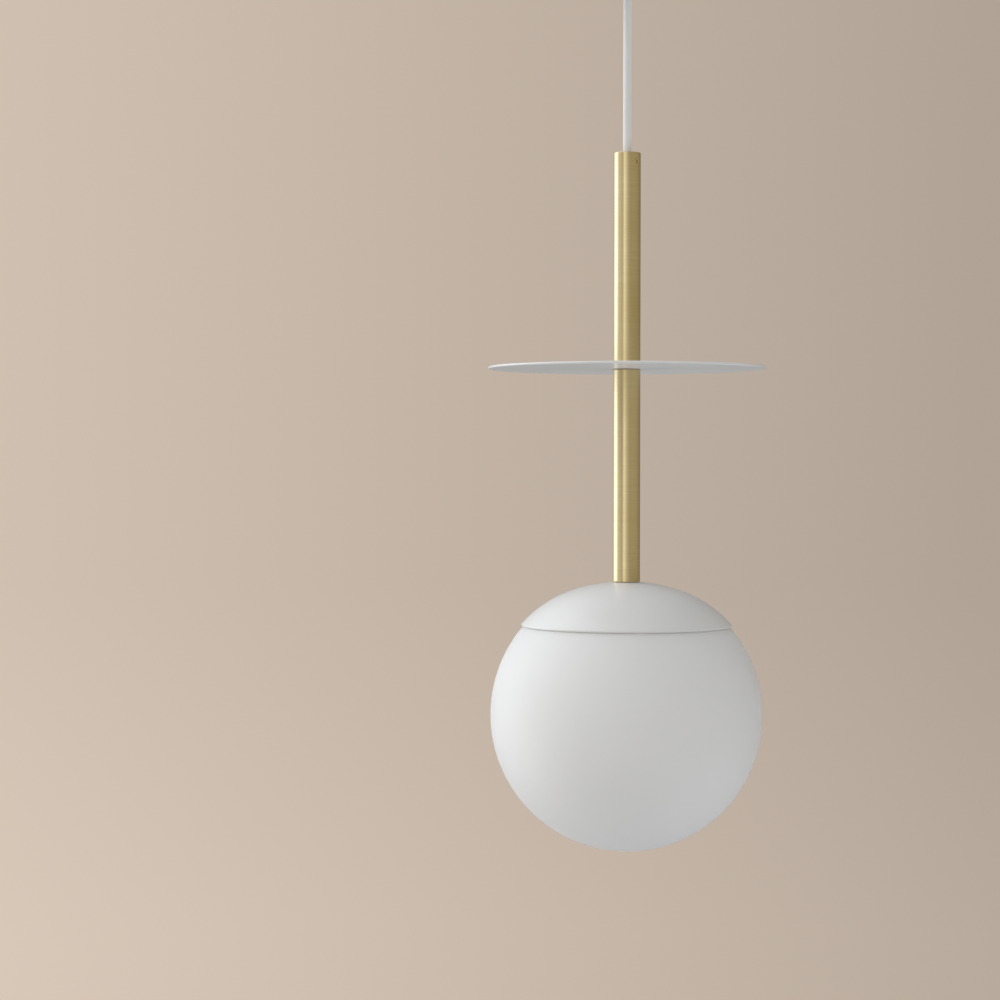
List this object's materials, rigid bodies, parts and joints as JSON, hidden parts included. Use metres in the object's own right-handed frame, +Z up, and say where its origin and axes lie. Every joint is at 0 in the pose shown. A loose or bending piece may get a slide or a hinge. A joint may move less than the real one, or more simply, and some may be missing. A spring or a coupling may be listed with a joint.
{
  "type": "pendant light",
  "caption": "Ceiling pendant: brass tube through a thin white disc, white domed cap and opal glass globe on a textile cord, with canopy.",
  "frame": {"origin": "centre of the ceiling bracket's top face, which lies on the ceiling", "axes": "+Z up, along the cord and tube; the lamp hangs towards -Z; +X along the bracket's strap, to the right seen from the front; +Y away from the viewer"},
  "size_m": [0.2038, 0.2038, 0.672],
  "materials": {
    "white_paint": "satin white powder coat",
    "satin_brass": "satin, fine brushing round the tube",
    "plain_brass": "turned",
    "opal_glass": "satin opal white, closed pore",
    "bulb_opal": "opal diffuser",
    "spring_steel": "bright",
    "white_textile": "tight braid",
    "white_plastic": "moulded",
    "black_insulator": "glassy",
    "clear_rubber": "milky silicone",
    "brown_wire": "insulation",
    "blue_wire": "insulation",
    "earth_wire": "insulation",
    "zinc_steel": "zinc plated"
  },
  "bodies": {
    "ceiling_fitting": {"ceiling_bracket": "zinc_steel", "canopy": "white_paint", "canopy_screw_right": "satin_brass", "canopy_screw_left": "satin_brass", "cord_grip": "white_plastic", "grip_nut": "white_plastic", "clamped_cord": "white_textile", "terminal_block": "white_plastic", "terminal_screw_1": "zinc_steel", "terminal_screw_2": "zinc_steel", "terminal_screw_3": "zinc_steel", "terminal_screw_4": "zinc_steel", "terminal_screw_5": "zinc_steel", "terminal_screw_6": "zinc_steel", "terminal_fixing_screw": "zinc_steel", "earth_screw": "plain_brass", "wire_live": "brown_wire", "wire_earth": "earth_wire", "wire_neutral": "blue_wire"},
    "cord_flex": {"cord_bend": "white_textile"},
    "cord": {"cord": "white_textile"},
    "pendant": {"tube_plug": "satin_brass", "plug_grub_screw": "zinc_steel", "inner_cord": "white_textile", "upper_tube": "satin_brass", "upper_insert": "plain_brass", "disc": "white_paint", "disc_nipple": "zinc_steel", "middle_insert": "plain_brass", "lower_tube": "satin_brass", "lower_insert": "plain_brass", "dome_nipple": "zinc_steel", "dome_cap": "white_paint", "spacer_sleeve": "zinc_steel", "gallery_plate": "zinc_steel", "gallery_washer": "zinc_steel", "gallery_nut": "zinc_steel", "spring_clip_1": "spring_steel", "clip_rivet_1": "zinc_steel", "spring_clip_2": "spring_steel", "clip_rivet_2": "zinc_steel", "spring_clip_3": "spring_steel", "clip_rivet_3": "zinc_steel", "holder_cap": "white_plastic", "holder_body": "white_plastic", "holder_core": "white_plastic", "centre_contact": "plain_brass", "side_contact": "plain_brass", "holder_wire_live": "brown_wire", "holder_wire_neutral": "blue_wire"},
    "globe": {"globe": "opal_glass", "seat_ring": "clear_rubber"},
    "bulb": {"bulb_tip": "zinc_steel", "bulb_insulator": "black_insulator", "bulb_screw_cap": "zinc_steel", "bulb_collar": "white_plastic", "bulb_envelope": "bulb_opal"}
  },
  "joints": [
    {"name": "swing_left_right", "type": "hinge", "parent": "ceiling_fitting", "child": "cord_flex", "pos_m": [0, 0, -0.039], "axis": [0, 1, 0], "range_deg": [-15, 15], "deforming": ["cord_bend"]},
    {"name": "swing_front_back", "type": "hinge", "parent": "cord_flex", "child": "cord", "pos_m": [0, 0, -0.039], "axis": [1, 0, 0], "range_deg": [-15, 15], "deforming": ["cord_bend"]},
    {"name": "cord_twist", "type": "hinge", "parent": "cord", "child": "pendant", "pos_m": [0, 0, -0.162], "axis": [0, 0, 1], "range_deg": [-90, 90], "stiffness_Nm_per_rad": 0.01},
    {"name": "globe_pull_off", "type": "slide", "parent": "pendant", "child": "globe", "axis": [0, 0, -1], "range_m": [0, 0.16]},
    {"name": "bulb_out", "type": "slide", "parent": "pendant", "child": "bulb", "axis": [0, 0, -1], "range_m": [0, 0.027]}
  ]
}
